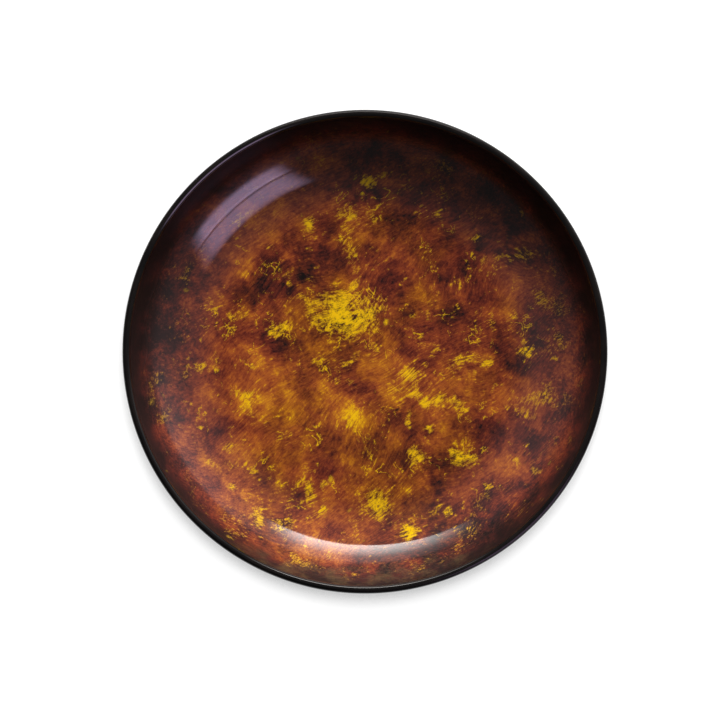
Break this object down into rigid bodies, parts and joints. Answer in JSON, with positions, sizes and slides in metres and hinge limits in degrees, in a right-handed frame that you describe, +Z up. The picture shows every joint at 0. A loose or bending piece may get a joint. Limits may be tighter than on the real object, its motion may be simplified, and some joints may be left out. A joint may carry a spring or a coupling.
{
  "type": "soup plate",
  "caption": "Round rimless soup plate in glazed porcelain: deep well with a curved wall, rounded black lip, foot ring, mottled amber and brown print inside, black glaze outside.",
  "frame": {"origin": "on the table, at the centre of the foot ring", "axes": "+Z up along the plate's axis of revolution; +Y away from the viewer and +X to the right, as in the picture"},
  "size_m": [0.254, 0.254, 0.042],
  "materials": {
    "bare_porcelain": "unglazed, ground smooth",
    "white_glaze": "gloss glaze",
    "printed_glaze": "gloss glaze over a mottled amber, rust and dark brown print",
    "black_glaze": "gloss glaze"
  },
  "bodies": {
    "root": {"porcelain_body": "bare_porcelain", "liner_glaze": "white_glaze", "transfer_print": "printed_glaze", "rim_band": "black_glaze", "outer_glaze": "black_glaze", "base_glaze": "black_glaze"}
  },
  "joints": []
}
